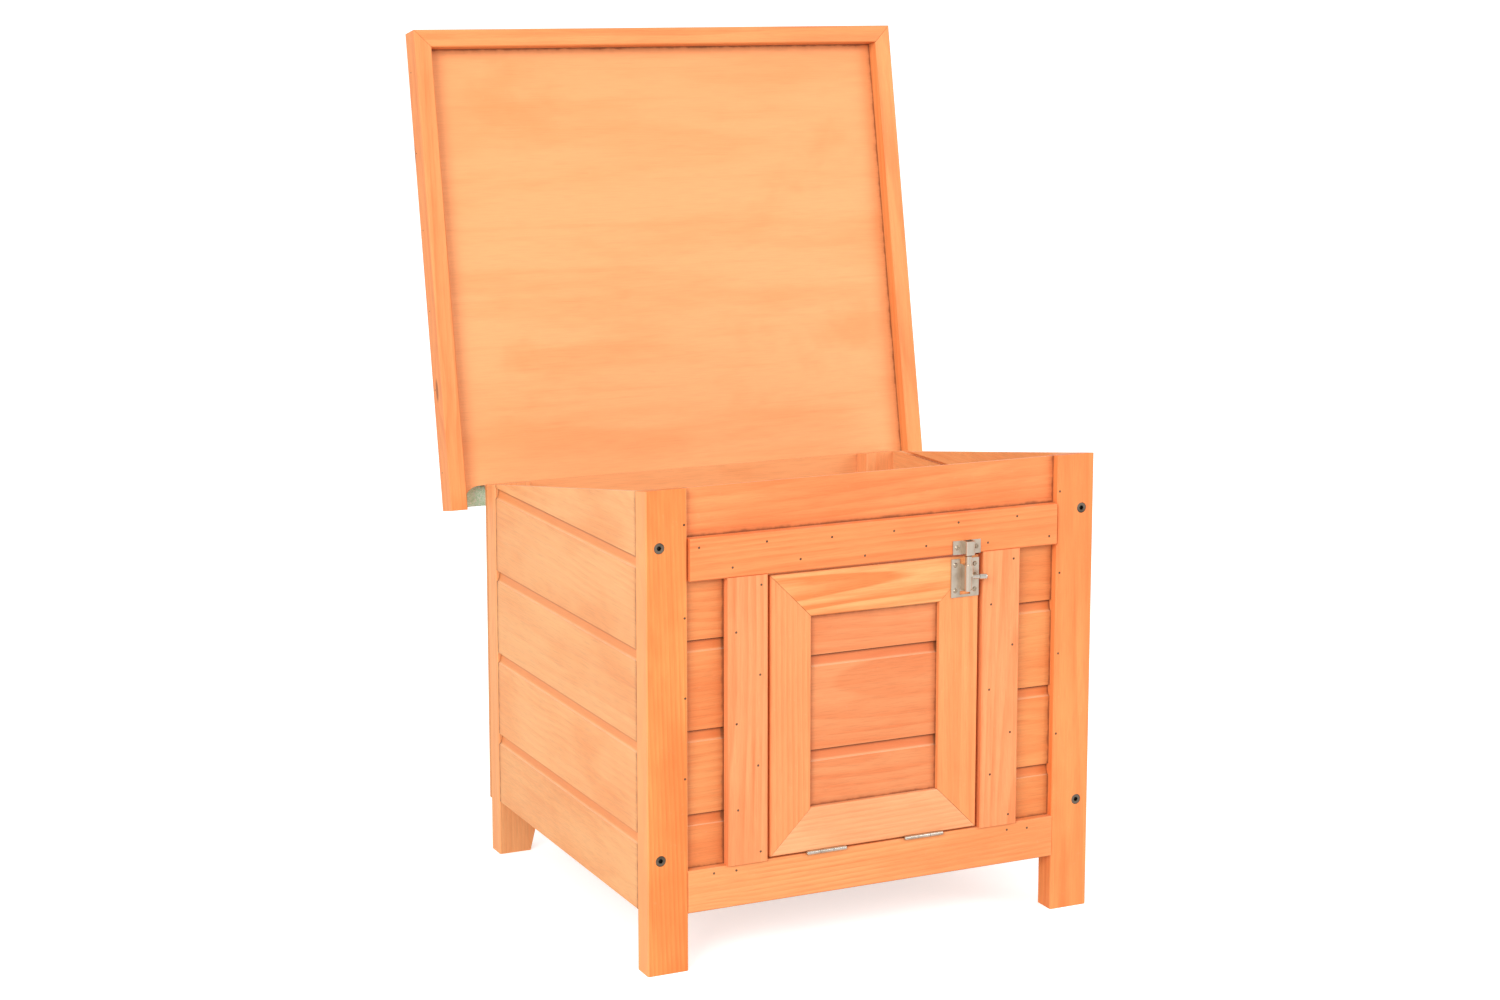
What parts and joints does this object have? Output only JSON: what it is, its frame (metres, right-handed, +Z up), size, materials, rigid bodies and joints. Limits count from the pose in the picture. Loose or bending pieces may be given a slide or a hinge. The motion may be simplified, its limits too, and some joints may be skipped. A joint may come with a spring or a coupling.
{
  "type": "rabbit hutch",
  "caption": "Small boarded wooden hutch on legs with a sloping hinged lid covered in felt and a drop-down ramp door held by a barrel bolt.",
  "frame": {"origin": "on the ground, under the middle of the whole part's box with the lid open as modelled", "axes": "+Z up, +X to the right seen from the front, +Y towards the rear, where the lid is hinged; the door faces -Y"},
  "size_m": [0.505, 0.4983, 0.779],
  "materials": {
    "board_wood": "planed softwood boards, oiled",
    "post_wood": "planed softwood posts, deep honey stain",
    "frame_wood": "planed softwood, honey stain",
    "door_wood": "planed softwood with plain grain",
    "batten_wood": "planed softwood battens with dark stripes",
    "plywood": "plywood with a smooth veneer",
    "rough_wood": "sawn softwood",
    "felt": "mineral-faced roofing felt, pale green",
    "nickel": "nickel-plated pressed steel",
    "dark_steel": "dark sunk screw heads"
  },
  "bodies": {
    "hutch": {"post_front_left": "post_wood", "post_front_right": "post_wood", "post_rear_left": "frame_wood", "post_rear_right": "frame_wood", "front_bottom_rail": "frame_wood", "rear_bottom_rail": "frame_wood", "front_header": "frame_wood", "trim_left": "frame_wood", "trim_right": "frame_wood", "front_top_board": "board_wood", "front_left_board_1": "board_wood", "front_left_board_2": "board_wood", "front_left_board_3": "board_wood", "front_left_board_4": "board_wood", "front_right_board_1": "board_wood", "front_right_board_2": "board_wood", "front_right_board_3": "board_wood", "front_right_board_4": "board_wood", "left_wall_board_1": "board_wood", "left_wall_board_2": "board_wood", "left_wall_board_3": "board_wood", "left_wall_board_4": "board_wood", "left_wall_board_5": "board_wood", "right_wall_board_1": "board_wood", "right_wall_board_2": "board_wood", "right_wall_board_3": "board_wood", "right_wall_board_4": "board_wood", "right_wall_board_5": "board_wood", "side_cleats_left": "rough_wood", "side_cleats_right": "rough_wood", "back_panel": "plywood", "floor_bearers": "rough_wood", "floor_panel": "plywood", "post_bolts": "dark_steel", "lid_hinge_wall_leaves": "nickel", "door_hinge_rail_leaves": "nickel", "hinge_pins": "nickel", "hutch_hinge_screws": "nickel", "bolt_keeper": "nickel", "keeper_screws": "nickel"},
    "lid": {"lid_panel": "plywood", "lid_batten_left": "batten_wood", "lid_batten_right": "batten_wood", "lid_batten_front": "batten_wood", "roof_felt": "felt", "lid_hinge_leaves": "nickel", "lid_hinge_screws": "nickel"},
    "door": {"door_frame_bottom": "door_wood", "door_frame_top": "door_wood", "door_frame_left": "door_wood", "door_frame_right": "door_wood", "door_board_1": "board_wood", "door_board_2": "board_wood", "door_board_3": "board_wood", "door_hinge_leaves": "nickel", "bolt_plate": "nickel", "door_screws": "nickel"},
    "bolt": {"bolt_rod": "nickel", "bolt_knob": "nickel"}
  },
  "joints": [
    {"name": "lid_hinge", "type": "hinge", "parent": "hutch", "child": "lid", "pos_m": [0, 0.15128, 0.35], "axis": [1, 0, 0], "range_deg": [0, 91.89]},
    {"name": "door_hinge", "type": "hinge", "parent": "hutch", "child": "door", "pos_m": [-0.0012, -0.23722, 0.08785], "axis": [1, 0, 0], "range_deg": [0, 108]},
    {"name": "bolt_slide", "type": "slide", "parent": "door", "child": "bolt", "axis": [0, 0, 1], "range_m": [0, 0.0105]}
  ]
}
